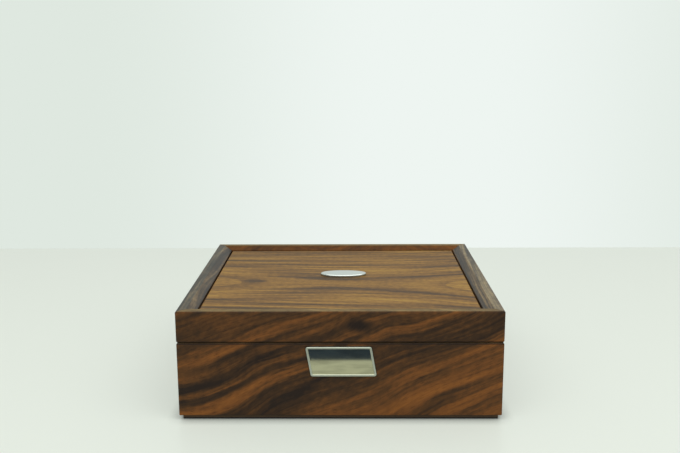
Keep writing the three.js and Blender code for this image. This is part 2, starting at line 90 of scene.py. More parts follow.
def add_node(tree, kind, *inputs, out=None, **settings):
    """Adds one node with its settings and links. Returns the output called out, or the first that is in use.

    kind is the node's type, without ShaderNode in front, and its operation where it has one. inputs are
    values, or outputs that feed the node, in the order of the sockets in use, or one dict that names them.
    """
    kind, *operation = kind.split()
    node = tree.nodes.new(kind if "Node" in kind else f"ShaderNode{kind}")
    if operation:
        node.operation = operation[0]
    for key, value in settings.items():
        setattr(node, key, value)
    if inputs and isinstance(inputs[0], dict):
        pairs = [(node.inputs[key], value) for key, value in inputs[0].items()]
    else:
        pairs = zip([socket for socket in node.inputs if socket.enabled], inputs)
    for socket, value in pairs:
        if isinstance(value, bpy.types.NodeSocket):
            tree.links.new(value, socket)
        else:
            socket.default_value = value
    if out:
        return node.outputs[out]
    return next((socket for socket in node.outputs if socket.enabled), None)


def feed(node, **sources):
    """Links outputs to the sockets of a node by name."""
    for key, source in sources.items():
        node.id_data.links.new(source, node.inputs[key.replace("_", " ")])


def set_stops(ramp, stops):
    """Gives a Color Ramp its stops: each has a place from 0 to 1 and an sRGB hex value or a grey level."""
    elements = ramp.node.color_ramp.elements
    while len(elements) < len(stops):
        elements.new(0.5)
    for element, (place, colour) in zip(elements, stops):
        element.position = place
        element.color = linear(colour) if isinstance(colour, str) else (colour, colour, colour, 1.0)
    return ramp


def new_material(name, **constants):
    """A material with one Principled shader, whose constant sockets are set by name. Returns the material,
    what adds a node to it, and the shader."""
    material = bpy.data.materials.new(name)
    material.use_nodes = True
    shader = material.node_tree.nodes["Principled BSDF"]
    for key, value in constants.items():
        shader.inputs[key.replace("_", " ")].default_value = value
    return material, functools.partial(add_node, material.node_tree), shader


def looking(add):
    """1 where a camera ray or its mirrored or refracted path arrives, and 0 for light that is scattered."""
    rays = add("LightPath").node.outputs
    seen = add("Math MAXIMUM", rays["Is Camera Ray"], rays["Is Glossy Ray"])
    return add("Math MAXIMUM", seen, rays["Is Transmission Ray"])


# What a user would change


def number(name, description, default, **kind):
    """A number, with its unit or subtype."""
    return FloatProperty(name=name, description=description, default=default, **kind)


def length(name, description, millimetres):
    """A length, its default given in millimetres."""
    return number(name, description, millimetres * MM, unit="LENGTH")


def colour_of(name, description, hex_code):
    """A colour, its default given as an sRGB hex value."""
    colour = linear(hex_code)
    return FloatVectorProperty(name=name, description=description, default=colour, subtype="COLOR", size=4)


class CaseColours(bpy.types.PropertyGroup):
    """Colours of the case."""

    velvet: colour_of("Velvet", "Pile of the insert and the lining", "#24382c")
    thread: colour_of("Thread", "Stitches of the lining", "#5d7a66")
    steel: colour_of("Steel", "Face of the front plate", "#b0ae90")
    rim: colour_of("Rim", "Rim of the front plate", "#bdc1b1")


class CaseStage(bpy.types.PropertyGroup):
    """Camera, lamps and floor."""

    camera_place: FloatVectorProperty(
        name="Camera Place",
        description="Where the camera stands",
        default=(0.0072, -0.73376, 0.28081),
        subtype="TRANSLATION",
        unit="LENGTH",
    )
    tilt: number("Tilt", "How far the camera looks down", math.radians(11.649), subtype="ANGLE")
    turn: number("Turn", "How far the camera looks right", math.radians(-0.628), subtype="ANGLE")
    roll: number("Roll", "How far the camera leans left", math.radians(-0.259), subtype="ANGLE")
    lens: number("Lens", "Focal length in millimetres", 45.21)
    ambient: number("Ambient", "Strength of the sky light", 0.33)
    key: number("Key", "Power of the lamp above the front", 25.0, unit="POWER")
    back: number("Back", "Power of the lamp above the back", 5.0, unit="POWER")
    glow_side: number("Glow Side", "Where the wall is palest, left to right", 0.1)
    floor_glow: number("Floor Glow", "Share of the floor's tone that takes no shadow", 0.42)
    # Where the glowing flag begins, which paints a dark reflection in the plate
    flag_edge: length("Table End", "Y where the floor's reflection turns dark", -243.6)
    floor_end: length("Floor End", "Y where the floor meets the wall", 474)


class CaseSizes(bpy.types.PropertyGroup):
    """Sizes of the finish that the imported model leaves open."""

    arris: length("Arris", "Rounding of a sanded edge", 0.25)
    plate_width: length("Plate Width", "Along one edge", 50.8)
    plate_skew: length("Plate Skew", "How far its lower edge lies to the right", 4.2)
    plate_corner: length("Plate Corner", "Corner radius", 1.8)
    plate_rim: length("Plate Rim", "Width of the rim", 1.7)
    plate_round: length("Plate Round", "Rounding of the rim's outer edge", 0.5)
    plate_recess: length("Plate Recess", "Depth of the face below the rim", 0.5)
    plaque_bevel: length("Plaque Bevel", "Width of its bevel", 0.9)
    screw_head: length("Screw Head", "Head radius", 2.3)
    screw_shank: length("Screw Shank", "Shank radius", 1.2)
    screw_slot: length("Screw Slot", "Width of the slot", 0.6)
    weave: length("Cloth Mesh", "Mesh width of padded cloth", 3)
    piping: length("Piping", "Radius of the piping", 0.6)
    thread: length("Thread", "Thickness of the thread", 0.7)
    pucker: length("Pucker", "How far a seam is drawn in", 0.8)
    stitch: length("Stitch", "Length of a stitch", 2.4)
    stitch_step: length("Stitch Step", "From stitch to stitch", 3.4)


# Meshes


def new_object(name, data):
    """An object at the origin, linked to the scene."""
    made = bpy.data.objects.new(name, data)
    bpy.context.scene.collection.objects.link(made)
    return made


def new_piece(name, mesh, material, body, slot, *nodes):
    """A piece that holds a finished mesh, rides on a body and stands for CAD nodes."""
    mesh.materials.clear()
    mesh.materials.append(material)
    piece = new_object(name, mesh)
    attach(piece, body)
    if nodes:
        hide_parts(*nodes)
    return piece


def mesh_of(name, bm, smooth):
    """Writes a bmesh to a new mesh, shaded round over edges under smooth degrees, broad flat faces apart."""
    mesh = bpy.data.meshes.new(name)
    bm.to_mesh(mesh)
    bm.free()
    if "custom_normal" in mesh.attributes:
        mesh.attributes.remove(mesh.attributes["custom_normal"])
    mesh.set_sharp_from_angle(angle=math.radians(smooth))
    for polygon in mesh.polygons:
        corners = [mesh.vertices[i].co for i in polygon.vertices]
        around = sum((b - a).length for a, b in zip(corners, corners[1:] + corners[:1]))
        polygon.use_smooth = 2 * polygon.area / around < BROAD
    return mesh


def eased_piece(name, node, material, body, slot, width, chosen=lambda edge: True, segments=2, smooth=30):
    """A piece in the shape of a CAD node, its loose triangles joined and its flat faces made whole. The
    chosen edges are rounded where faces meet at more than 20 degrees."""
    bm = bmesh.new()
    bm.from_mesh(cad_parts[node].data)
    bmesh.ops.remove_doubles(bm, verts=bm.verts, dist=1e-6)
    bmesh.ops.dissolve_limit(bm, angle_limit=math.radians(0.5), verts=bm.verts, edges=bm.edges)
    sharp = [e for e in bm.edges if len(e.link_faces) == 2 and e.calc_face_angle(0) > math.radians(20)]
    rounding = {"offset": width, "segments": segments, "profile": 0.5, "clamp_overlap": True}
    bmesh.ops.bevel(bm, geom=[e for e in sharp if chosen(e)], affect="EDGES", **rounding)
    return new_piece(name, mesh_of(name, bm, smooth), material, body, slot, node)


def running(axis):
    """Chooses the edges that run along an axis."""
    return lambda edge: abs((edge.verts[1].co - edge.verts[0].co).normalized()[axis]) > 0.99


def longer(least):
    """Chooses the edges that are longer than a length."""
    return lambda edge: edge.calc_length() > least


def bent(edge):
    """Chooses the edges where faces meet at more than 40 degrees."""
    return edge.calc_face_angle(0) > math.radians(40)


def loft(name, rings, smooth):
    """A closed body over rings of like count, given as lists of points, its first and last ring filled."""
    bm = bmesh.new()
    made = [[bm.verts.new(p) for p in ring] for ring in rings]
    for low, high in zip(made, made[1:]):
        for i in range(len(low)):
            j = (i + 1) % len(low)
            bm.faces.new((low[i], low[j], high[j], high[i]))
    bm.faces.new(made[0][::-1])
    bm.faces.new(made[-1])
    bmesh.ops.recalc_face_normals(bm, faces=bm.faces)
    return mesh_of(name, bm, smooth)


def quarter_round(radius, steps):
    """Points of a rounded edge, from side to end: how far each is in from the side and short of the end."""
    angles = (i * math.pi / (2 * steps) for i in range(steps + 1))
    return [(radius * (1 - math.cos(a)), radius * (1 - math.sin(a))) for a in angles]


def middle_and_half(node):
    """The middle of a CAD node's box, and half of its size."""
    low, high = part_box(node)
    return (low + high) / 2, (high - low) / 2


def rod(name, node, edge, sides, axis="Z"):
    """A round bar or disc over a CAD node's box, its two edges rounded."""
    centre, size = middle_and_half(node)
    radius = size.y
    half = size.x if axis == "X" else size.z
    rounded = quarter_round(edge, 4)
    profile = [(radius - inward, short - half) for inward, short in reversed(rounded)]
    profile += [(radius - inward, half - short) for inward, short in rounded]
    angles = [2 * math.pi * i / sides for i in range(sides)]
    rings = []
    for reach, level in profile:
        ring = (Vector((reach * math.cos(a), reach * math.sin(a), level)) for a in angles)
        rings.append([centre + (p.zxy if axis == "X" else p) for p in ring])
    return loft(name, rings, 35)


def grown(name, points, edges, tree, inputs):
    """The plain mesh that a Geometry Nodes tree makes from points and edges, its inputs set by name."""
    mesh = bpy.data.meshes.new(name)
    mesh.from_pydata(points, edges, [])
    holder = new_object(name, mesh)
    modifier = holder.modifiers.new("nodes", "NODES")
    modifier.node_group = tree
    for socket in tree.interface.items_tree:
        if socket.in_out == "INPUT" and socket.name in inputs:
            modifier[socket.identifier] = inputs[socket.name]
    evaluated = holder.evaluated_get(bpy.context.evaluated_depsgraph_get())
    made = bpy.data.meshes.new_from_object(evaluated)
    bpy.data.objects.remove(holder)
    made.name = name
    return made


def new_tree(name, **sockets):
    """A Geometry Nodes tree with the named inputs, each given with its type. Returns what adds a node to it,
    and what the inputs give."""
    tree = bpy.data.node_groups.new(name, "GeometryNodeTree")
    tree.interface.new_socket("Geometry", in_out="INPUT", socket_type="NodeSocketGeometry")
    tree.interface.new_socket("Geometry", in_out="OUTPUT", socket_type="NodeSocketGeometry")
    for key, kind in sockets.items():
        tree.interface.new_socket(key.replace("_", " "), in_out="INPUT", socket_type=f"NodeSocket{kind}")
    return functools.partial(add_node, tree), tree.nodes.new("NodeGroupInput").outputs


def end_tree(add, geometry, material):
    """Ends a tree in Realize Instances and Set Material, and returns it."""
    real = add("GeometryNodeRealizeInstances", geometry)
    add("NodeGroupOutput", add("GeometryNodeSetMaterial", {"Geometry": real, "Material": material}))
    return geometry.id_data


def piping_tree():
    """A round cord along every edge."""
    add, given = new_tree("Piping", Radius="Float", Material="Material")
    paths = add("GeometryNodeMeshToCurve", given["Geometry"])
    section = add("GeometryNodeCurvePrimitiveCircle", {"Resolution": 8, "Radius": given["Radius"]})
    return end_tree(add, add("GeometryNodeCurveToMesh", paths, section), given["Material"])


def stitches_tree():
    """Rounded stitches, one after another along every edge."""
    add, given = new_tree("Stitches", Length="Float", Step="Float", Thickness="Float", Material="Material")
    paths = add("GeometryNodeMeshToCurve", given["Geometry"])
    spots = add("GeometryNodeResampleCurve", {"Curve": paths, "Length": given["Step"]}, mode="LENGTH")
    thread = add("GeometryNodeMeshUVSphere", {"Segments": 8, "Rings": 6, "Radius": 0.5})
    shape = add("CombineXYZ", given["Length"], given["Thickness"], given["Thickness"])
    thread = add("GeometryNodeTransform", {"Geometry": thread, "Scale": shape})
    tangent = add("GeometryNodeInputTangent")
    turn = add("FunctionNodeAlignRotationToVector", {"Vector": tangent}, axis="X")
    row = add("GeometryNodeInstanceOnPoints", {"Points": spots, "Instance": thread, "Rotation": turn})
    return end_tree(add, row, given["Material"])


def screws_tree():
    """Slotted countersunk wood screws with tapered shanks, heads at the points, each turned by chance."""
    add, given = new_tree(
        "Screws", Head_Radius="Float", Shank_Radius="Float", Length="Float", Slot_Width="Float",
        Tilt="Vector", Seed="Int", Material="Material",
    )
    shares = (("Length", 0.9), ("Shank Radius", 0.15), ("Head Radius", 3.0), ("Slot Width", 2.0))
    shank_length, tip_radius, slot_length, slot_depth = (
        add("Math MULTIPLY", given[key], share) for key, share in shares
    )
    head_depth = add("Math SUBTRACT", given["Head Radius"], given["Shank Radius"])
    body = add("GeometryNodeMeshBoolean UNION", solver="EXACT")
    for top, bottom, depth, reach in (
        (given["Head Radius"], given["Shank Radius"], head_depth, head_depth),
        (given["Shank Radius"], tip_radius, shank_length, given["Length"]),
    ):
        cone = {"Vertices": 32, "Radius Top": top, "Radius Bottom": bottom, "Depth": depth}
        cone = add("GeometryNodeMeshCone", cone)
        down = add("CombineXYZ", 0.0, 0.0, add("Math MULTIPLY", reach, -1.0))
        feed(body.node, Mesh_2=add("GeometryNodeTransform", {"Geometry": cone, "Translation": down}))
    slot = add("CombineXYZ", slot_length, given["Slot Width"], slot_depth)
    cut = {"Mesh 1": body, "Mesh 2": add("GeometryNodeMeshCube", slot)}
    cut = add("GeometryNodeMeshBoolean DIFFERENCE", cut, solver="EXACT")
    screw = add("GeometryNodeTransform", {"Geometry": cut, "Rotation": given["Tilt"]})
    chance = {"Min": (0.0, 0.0, 0.0), "Max": (0.0, 0.0, math.pi), "Seed": given["Seed"]}
    chance = add("FunctionNodeRandomValue", chance, data_type="FLOAT_VECTOR")
    points = add("GeometryNodeMeshToPoints", given["Geometry"])
    row = add("GeometryNodeInstanceOnPoints", {"Points": points, "Instance": screw, "Rotation": chance})
    return end_tree(add, row, given["Material"])


# Padded cloth


class Pad:
    """A cushion sewn over the box of a CAD node, blown up by a cloth simulation.

    Its resting face is flat. The sides are drawn in between the corners, and the crown rises over the seam.
    """

    # How many times larger than life the cloth is simulated
    ENLARGED = 10
    # Beyond this a coordinate of the grid, which runs from -1 to 1, lies at its end
    END = 0.999

    def __init__(self, name, node, crown, waist, corner, mesh_width, down=False):
        self.name = name
        self.centre, self.half = middle_and_half(node)
        self.crown, self.waist, self.corner, self.down = crown, waist, corner, down
        bm = bmesh.new()
        bmesh.ops.create_cube(bm, size=2.0)
        self.cells = [max(2, round(2 * side / mesh_width)) for side in self.half]
        for axis, count in enumerate(self.cells):
            direction = Vector([float(i == axis) for i in range(3)])
            for i in range(1, count):
                everything = bm.verts[:] + bm.edges[:] + bm.faces[:]
                place = direction * (2 * i / count - 1)
                bmesh.ops.bisect_plane(bm, geom=everything, plane_co=place, plane_no=direction)
        self.grid = [v.co.copy() for v in bm.verts]
        for vert in bm.verts:
            vert.co = self.shape(*vert.co)
        if down:
            bmesh.ops.reverse_faces(bm, faces=bm.faces)
        self.mesh = bpy.data.meshes.new(name)
        bm.to_mesh(self.mesh)
        bm.free()
        self.start = [v.co.copy() for v in self.mesh.vertices]

    def shape(self, u, v, w):
        """A point of the pad before it is blown up. u, v and w run from -1 to 1 over its box."""
        x = u * (self.half.x - self.waist * (1 - v * v))
        y = v * (self.half.y - self.waist * (1 - u * u))
        over_x = abs(x) - (self.half.x - self.corner)
        over_y = abs(y) - (self.half.y - self.corner)
        if over_x > 0 and over_y > 0:
            pull = max(over_x, over_y) / math.hypot(over_x, over_y)
            x = math.copysign(self.half.x - self.corner + over_x * pull, x)
            y = math.copysign(self.half.y - self.corner + over_y * pull, y)
        height = (w + 1) * (self.half.z - self.crown / 2)
        if w > self.END:
            height += 0.5 * self.crown * (1 - u**4) * (1 - v**4)
        z = self.half.z - height if self.down else height - self.half.z
        return self.centre + Vector((x, y, z))

    def sewn(self, point):
        """Whether a point of the grid is held by a seam or by the board that the pad rests on."""
        u, v, w = point
        return w < -self.END or (w > self.END and max(abs(u), abs(v)) > self.END)

    def row(self, inset):
        """The numbers of the vertices round the crowned face, in order, inset rows inside the seam."""
        edges = [1 - 2 * inset / count for count in self.cells[:2]]

        def outside(point):
            return max(abs(point.x) - edges[0], abs(point.y) - edges[1])

        def angle(i):
            return math.atan2(self.grid[i].y / edges[1], self.grid[i].x / edges[0])

        found = [i for i, point in enumerate(self.grid) if point.z > self.END and abs(outside(point)) < 1e-4]
        return sorted(found, key=angle)


def blow_up(pads, pressure, spare, reach, frames):
    """Simulates all pads together, enlarged, and moves their points by no more than reach. spare is how much
    larger than the pad the cloth is cut."""
    made = []
    for pad in pads:
        mesh = pad.mesh.copy()
        for vert, place in zip(mesh.vertices, pad.start):
            vert.co = (place - pad.centre) * pad.ENLARGED
        cloth_object = new_object(f"{pad.name}_cloth", mesh)
        held = cloth_object.vertex_groups.new(name="sewn")
        held.add([i for i, point in enumerate(pad.grid) if pad.sewn(point)], 1.0, "REPLACE")
        modifier = cloth_object.modifiers.new("cloth", "CLOTH")
        cloth = modifier.settings
        cloth.quality = 5
        cloth.vertex_group_mass = "sewn"
        cloth.use_pressure = True
        cloth.uniform_pressure_force = pressure
        cloth.shrink_min = -spare
        cloth.bending_stiffness = 0.2
        cloth.effector_weights.gravity = 0.0
        modifier.collision_settings.use_collision = False
        modifier.point_cache.frame_end = frames
        made.append((pad, cloth_object))
    for moment in range(1, frames + 1):
        bpy.context.scene.frame_set(moment)
    graph = bpy.context.evaluated_depsgraph_get()
    for pad, cloth_object in made:
        blown = cloth_object.evaluated_get(graph).data
        for vert, moved, place in zip(pad.mesh.vertices, blown.vertices, pad.start):
            step = moved.co / pad.ENLARGED + pad.centre - place
            vert.co = place + step * min(1.0, reach / max(step.length, 1e-9))
        bpy.data.objects.remove(cloth_object)
    bpy.context.scene.frame_set(1)


# Walnut


def log_field(add, grain):
    """Where a point lies in its log, in millimetres: its place along the grain, its level across it, its
    ring, and how far it is from the knot, 1 being the end of the knot's reach."""
    turn = [math.radians(angle) for angle in grain["turn"]]
    log = add("Mapping", add("TexCoord", out="Object"), grain["move"], turn, (1 / MM,) * 3)

    # Sway of the fibres, slow over 90 mm and quicker over 30 mm
    swayed = log
    for size, reach in ((90, grain["sway"]), (30, grain["flutter"])):
        noise = add("TexNoise", {"Vector": log, "Scale": 1 / size, "Detail": 1.0}, out="Color")
        noise = add("VectorMath SUBTRACT", noise, (0.5, 0.5, 0.5))
        swayed = add("VectorMath MULTIPLY_ADD", noise, reach, swayed)

    # The fibres part around the knot, within five of its radii along the grain and three across
    knot_x, knot_y, knot_radius = grain["knot"]
    aside = add("VectorMath SUBTRACT", swayed, (knot_x, knot_y, 0))
    nearby = add("VectorMath MULTIPLY", aside, (1 / (5 * knot_radius), 1 / (3 * knot_radius), 0))
    nearby = add("VectorMath LENGTH", nearby)
    swell = add("MapRange", nearby, 1.0, 0.0, 0.0, 0.6, interpolation_type="SMOOTHSTEP")
    parted = add("VectorMath SCALE", aside, swell)
    parted = add("VectorMath MULTIPLY_ADD", parted, (0, -1, 0), swayed)
    along, across, into = add("SeparateXYZ", parted).node.outputs

    # Level of a fibre: across (1 + fan along - wave sine) - along (slope + bend along) + lean into
    sine = add("Math MULTIPLY_ADD", along, 2 * math.pi / WAVE_LENGTH, WAVE_START)
    sine = add("Math SINE", sine)
    spread = add("Math MULTIPLY_ADD", along, grain["fan"], 1.0)
    spread = add("Math MULTIPLY_ADD", sine, -grain["wave"], spread)
    lean = add("Math MULTIPLY", into, grain["lean"])
    level = add("Math MULTIPLY_ADD", across, spread, lean)
    climb = add("Math MULTIPLY_ADD", along, grain["bend"], grain["slope"])
    climb = add("Math MULTIPLY", climb, along)
    level = add("Math SUBTRACT", level, climb)

    # Distance from the heart, where the rings make arches on a board cut close over it
    heart_y, heart_z = grain["heart"]
    away = add("Math MULTIPLY", along, along)
    depth = add("Math MULTIPLY_ADD", away, grain["taper"], into)
    section = add("CombineXYZ", 0.0, level, depth)
    section = add("VectorMath SUBTRACT", section, (0, heart_y, heart_z))
    ring = add("VectorMath LENGTH", section)
    ring = add("Math SUBTRACT", ring, math.hypot(heart_y, heart_z))
    return along, level, ring, nearby


def walnut(name, grain, tones, painted_sheen_tones, rough, shine):
    """American black walnut, planed, sanded and oiled: bands and streaks that bend with the figure, fine
    dark pores and a low satin sheen.

    grain lays the log on the board. turn and move place its own frame, in degrees and millimetres, with x
    along the grain, y across the face and z into the board. slope, bend, fan, wave and lean say how the
    fibres climb, and sway and flutter how far they stray. heart is the log's middle, in y and z, and taper
    how its depth falls off. knot is a place and a radius. bands gives tones at distances from the heart,
    feather how far a band reaches into the next and the length and width of its fibres there, and fade the
    stretch along the grain over which bands weaken, and their weight at either end. rings is the year
    rings' width and weight. layers lists noise from broad to fine: length, width, detail and weight. up is
    the range of the normal's Z over which a face takes the second, paler tones: a face that looks up is
    painted paler, as painted light and sheen from above.
    """
    material, add, shader = new_material(name, Specular_IOR_Level=shine)
    along, level, ring, nearby = log_field(add, grain)
    rings = add("CombineXYZ", along, ring)
    fibres = add("CombineXYZ", along, level)

    # Bands of the figure, their edges feathered by the fibres, stronger and weaker in patches of 50 by 12 mm
    reach, fibre_length, fibre_width = grain["feather"]
    feather = add("VectorMath DIVIDE", fibres, (fibre_length, fibre_width, 1))
    feather = add("TexNoise", {"Vector": feather, "Scale": 1.0, "Detail": 1.0})
    feather = add("Math MULTIPLY_ADD", feather, reach, ring)
    first, last = grain["bands"][0][0], grain["bands"][-1][0]
    share = add("MapRange", feather, first + reach / 2, last + reach / 2)
    figure = add("ValToRGB", share)
    figure = set_stops(figure, [((place - first) / (last - first), grey) for place, grey in grain["bands"]])
    figure = add("Math SUBTRACT", figure, 0.5)
    patches = add("VectorMath DIVIDE", rings, (50, 12, 1))
    patches = add("TexNoise", {"Vector": patches, "Scale": 1.0, "Detail": 1.0})
    patches = add("MapRange", patches, 0.35, 0.6, 0.4, 1.1)
    strength = add("MapRange", along, *grain["fade"])
    strength = add("Math MULTIPLY", strength, patches)
    middle = 0.5 - 0.5 * sum(weight for *_, weight in grain["layers"])
    tone = add("Math MULTIPLY_ADD", figure, strength, middle)

    # Broad layers follow the rings, and the finer streaks run straight over them
    for size, width, detail, weight in grain["layers"]:
        cells = add("VectorMath DIVIDE", rings if width >= BROAD_LAYER else fibres, (size, width, 1))
        noise = add("TexNoise", {"Vector": cells, "Scale": 1.0, "Detail": detail})
        tone = add("Math MULTIPLY_ADD", noise, weight, tone)

    # Year rings that stray over 120 by 9 mm: a dark line that fades towards the bark, the mean tone kept
    width, weight = grain["rings"]
    year = add("VectorMath DIVIDE", rings, (120, 9, 1))
    year = add("TexNoise", {"Vector": year, "Scale": 1.0, "Detail": 0.0})
    year = add("Math MULTIPLY", year, 1.8)
    year = add("Math MULTIPLY_ADD", ring, 1 / width, year)
    year = add("Math FRACT", year)
    year = add("MapRange", year, 0.0, 0.5, 0.75 * weight, -0.25 * weight)
    tone = add("Math SUBTRACT", tone, year)

    # The knot's core is dark
    core = add("MapRange", nearby, 0.65, 0.0, 0.0, 0.5, interpolation_type="SMOOTHSTEP")
    tone = add("Math SUBTRACT", tone, core)

    # Side tones, and paler top tones on faces that look up: painted light and sheen
    upright = add("SeparateXYZ", add("TexCoord", out="Normal"), out="Z")
    painted_sheen_share = add("MapRange", upright, *grain["up"])
    side = set_stops(add("ValToRGB", tone), tones)
    top = set_stops(add("ValToRGB", tone), painted_sheen_tones)
    colour = add("Mix", painted_sheen_share, side, top, data_type="RGBA")

    # Painted shade: the upright faces along the seam between lid and box are darkened, as shadow in the joint
    seam = (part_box("base_front_board")[1].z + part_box("lid_front_rail")[0].z) / 2
    height = add("SeparateXYZ", add("TexCoord", out="Object"), out="Z")
    height = add("Math SUBTRACT", height, seam)
    height = add("Math ABSOLUTE", height)
    stained = add("MapRange", height, SEAM_SHADE / 2, SEAM_SHADE, 0.8, 0.0)
    flat = add("Math ABSOLUTE", upright)
    flat = add("MapRange", flat, 0.85, 0.95, 1.0, 0.0)
    stained = add("Math MULTIPLY", stained, flat)
    colour = add("Mix", stained, colour, linear("#170f0a"), data_type="RGBA")

    # Pores: dark dashes, drawn 0.45 mm wide and 6 mm long so that they show
    pores = add("VectorMath DIVIDE", fibres, (6, 0.45, 1))
    pores = add("TexNoise", {"Vector": pores, "Scale": 1.0, "Detail": 1.0})
    pores = add("MapRange", pores, 0.56, 0.74, 0.0, 0.6)
    oiled = add("Mix", pores, colour, linear("#1a110c"), data_type="RGBA")
    gloss = add("MapRange", tone, 0.2, 0.8, rough - 0.05, rough + 0.05)
    relief = add("Bump", {"Strength": 0.3, "Distance": 0.05 * MM, "Height": pores}, invert=True)
    feed(shader, Base_Color=oiled, Roughness=gloss, Normal=relief)
    return material


# Bands across the figure: millimetres from the middle of the box, and tone from dark to bright
FRONT_BANDS = (
    (-92, 0.8), (-80, 1.0), (-68, 0.6), (-57, 1.0), (-45, 0.7), (-35, 0.95), (-28, 0.4), (-20, 0.25),
    (-10, 0.0), (1, 0.15), (7, 0.85), (11, 0.8), (14, 0.12), (17, 0.1), (20, 0.62), (22, 0.55), (24, 0.1),
    (27, 0.15), (31, 0.55), (37, 0.3), (43, 0.9), (46, 0.65), (52, 0.2), (60, 0.4),
)
BACK_BANDS = (
    (-120, 0.5), (-90, 0.7), (-72, 0.35), (-50, 0.6), (-32, 0.3), (-8, 0.65), (14, 0.4), (40, 0.7),
    (58, 0.35), (90, 0.6),
)
SIDE_BANDS = (
    (-170, 0.5), (-150, 0.3), (-135, 0.65), (-120, 0.35), (-104, 0.7), (-90, 0.45), (-82, 0.6), (-77, 0.5),
    (-72, 0.25), (-66, 0.3), (80, 0.5), (95, 0.7), (110, 0.3), (124, 0.6), (140, 0.4), (150, 0.3),
    (155, 0.15), (159, 0.3), (163, 0.75), (168, 0.6),
)
PANEL_BANDS = (
    (-12, 0.8), (-7, 0.75), (-3, 0.6), (-1, 0.45), (0.5, 0.65), (2, 0.15), (3.5, 0.6), (7, 0.4), (10, 0.65),
    (17, 0.7), (19.5, 0.1), (22, 0.65), (28, 0.4), (34, 0.6), (38, 0.2), (42, 0.7), (48, 0.4), (54, 0.65),
    (60, 0.2), (65, 0.6), (72, 0.4), (80, 0.55),
)
FRONT_GRAIN = {
    "turn": (-90, 0, 0), "move": (0, -45, -115), "slope": 0.4, "bend": 0.00054, "fan": 0.0014, "wave": 0.086,
    "lean": 0.8, "heart": (-900, 0), "taper": 0.0, "sway": (10, 8, 20), "flutter": (2, 3, 4),
    "knot": (15, 31, 4), "bands": FRONT_BANDS, "feather": (7, 30, 3), "fade": (-50, 30, 0.8, 0.5),
    "rings": (6, 0.1), "up": (0.86, 0.98),
    "layers": ((150, 14, 0.5, 0.5), (60, 5, 1.0, 0.6), (30, 1.6, 1.0, 0.15), (5, 4, 2.0, 0.35)),
}
BACK_GRAIN = FRONT_GRAIN | {
    "move": (30, -25, 115), "slope": -0.12, "bend": 0.0006, "fan": 0.0006, "sway": (20, 22, 20),
    "knot": (-60, 10, 3), "bands": BACK_BANDS, "fade": (-60, 60, 0.6, 0.36), "up": (0.97, 1.0),
}
SIDE_GRAIN = BACK_GRAIN | {
    "turn": (-90, -90, 0), "move": (0, -45, 0), "slope": 0.03, "bend": 0.0002, "fan": 0.0, "wave": 0.01,
    "lean": 1.0, "sway": (12, 1.5, 4), "flutter": (2, 0.3, 0.5), "knot": (400, 0, 3), "bands": SIDE_BANDS,
    "feather": (4, 60, 1.8), "up": (0.84, 0.99),
    "layers": ((250, 14, 0.5, 0.4), (150, 3, 1.0, 0.9), (60, 1.4, 1.0, 0.7), (8, 4, 2.0, 0.4)),
}
PANEL_GRAIN = {
    "turn": (0, 0, 0), "move": (0, 23, -84), "slope": -0.06, "bend": 0.0001, "fan": -0.0009, "wave": 0.0,
    "lean": 0.0, "heart": (0, -62), "taper": -0.0006, "sway": (8, 5, 2), "flutter": (3, 1, 0.5),
    "knot": (-74, 8, 5), "bands": PANEL_BANDS, "feather": (2, 18, 1.8), "fade": (-60, 60, 0.7, 0.6),
    "rings": (5, 0.2), "up": (0.97, 1.0),
    "layers": ((160, 12, 0.5, 1.1), (110, 5, 1.0, 0.8), (90, 2.4, 1.0, 0.7), (5, 3, 2.0, 0.5)),
}
# Tones from dark to bright. The top tones are paler and greyer, as painted light and sheen on faces that look
# up
FRONT_TONES = ((0.12, "#251b15"), (0.35, "#3d2a19"), (0.52, "#56381d"), (0.68, "#6d4421"), (0.9, "#825125"))
FRONT_SHEEN_TONES = ((0.12, "#56442d"), (0.52, "#7a6641"), (0.9, "#9a8356"))
BACK_TONES = ((0.12, "#2e1e13"), (0.35, "#452b17"), (0.52, "#5a381a"), (0.68, "#70451f"), (0.9, "#8a5523"))
SIDE_TONES = ((0.15, "#241b17"), (0.4, "#3f2e22"), (0.6, "#5c442c"), (0.85, "#7d5e38"))
SIDE_SHEEN_TONES = ((0.2, "#292521"), (0.42, "#4c453a"), (0.58, "#736752"), (0.8, "#968768"))
PANEL_TONES = ((0.12, "#48341e"), (0.35, "#6a4d28"), (0.52, "#836133"), (0.68, "#94713b"), (0.9, "#a68344"))


# Other finishes


def brushed(name, colour, rough, spacing):
    """A metal brushed along X: a soft mirror with scratches that stretch its highlights across them. They are
    drawn spacing millimetres apart so that they show."""
    material, add, shader = new_material(name, Base_Color=linear(colour), Metallic=1.0)
    scratch = (60 * spacing * MM, spacing * MM, spacing * MM)
    scratch = add("VectorMath DIVIDE", add("TexCoord", out="Object"), scratch)
    scratch = add("TexNoise", {"Vector": scratch, "Scale": 1.0, "Detail": 3.0})
    gloss = add("MapRange", scratch, 0.3, 0.7, rough * 0.85, rough * 1.15)
    relief = add("Bump", {"Strength": 0.05, "Distance": 0.01 * MM, "Height": scratch})
    feed(shader, Roughness=gloss, Normal=relief)
    return material


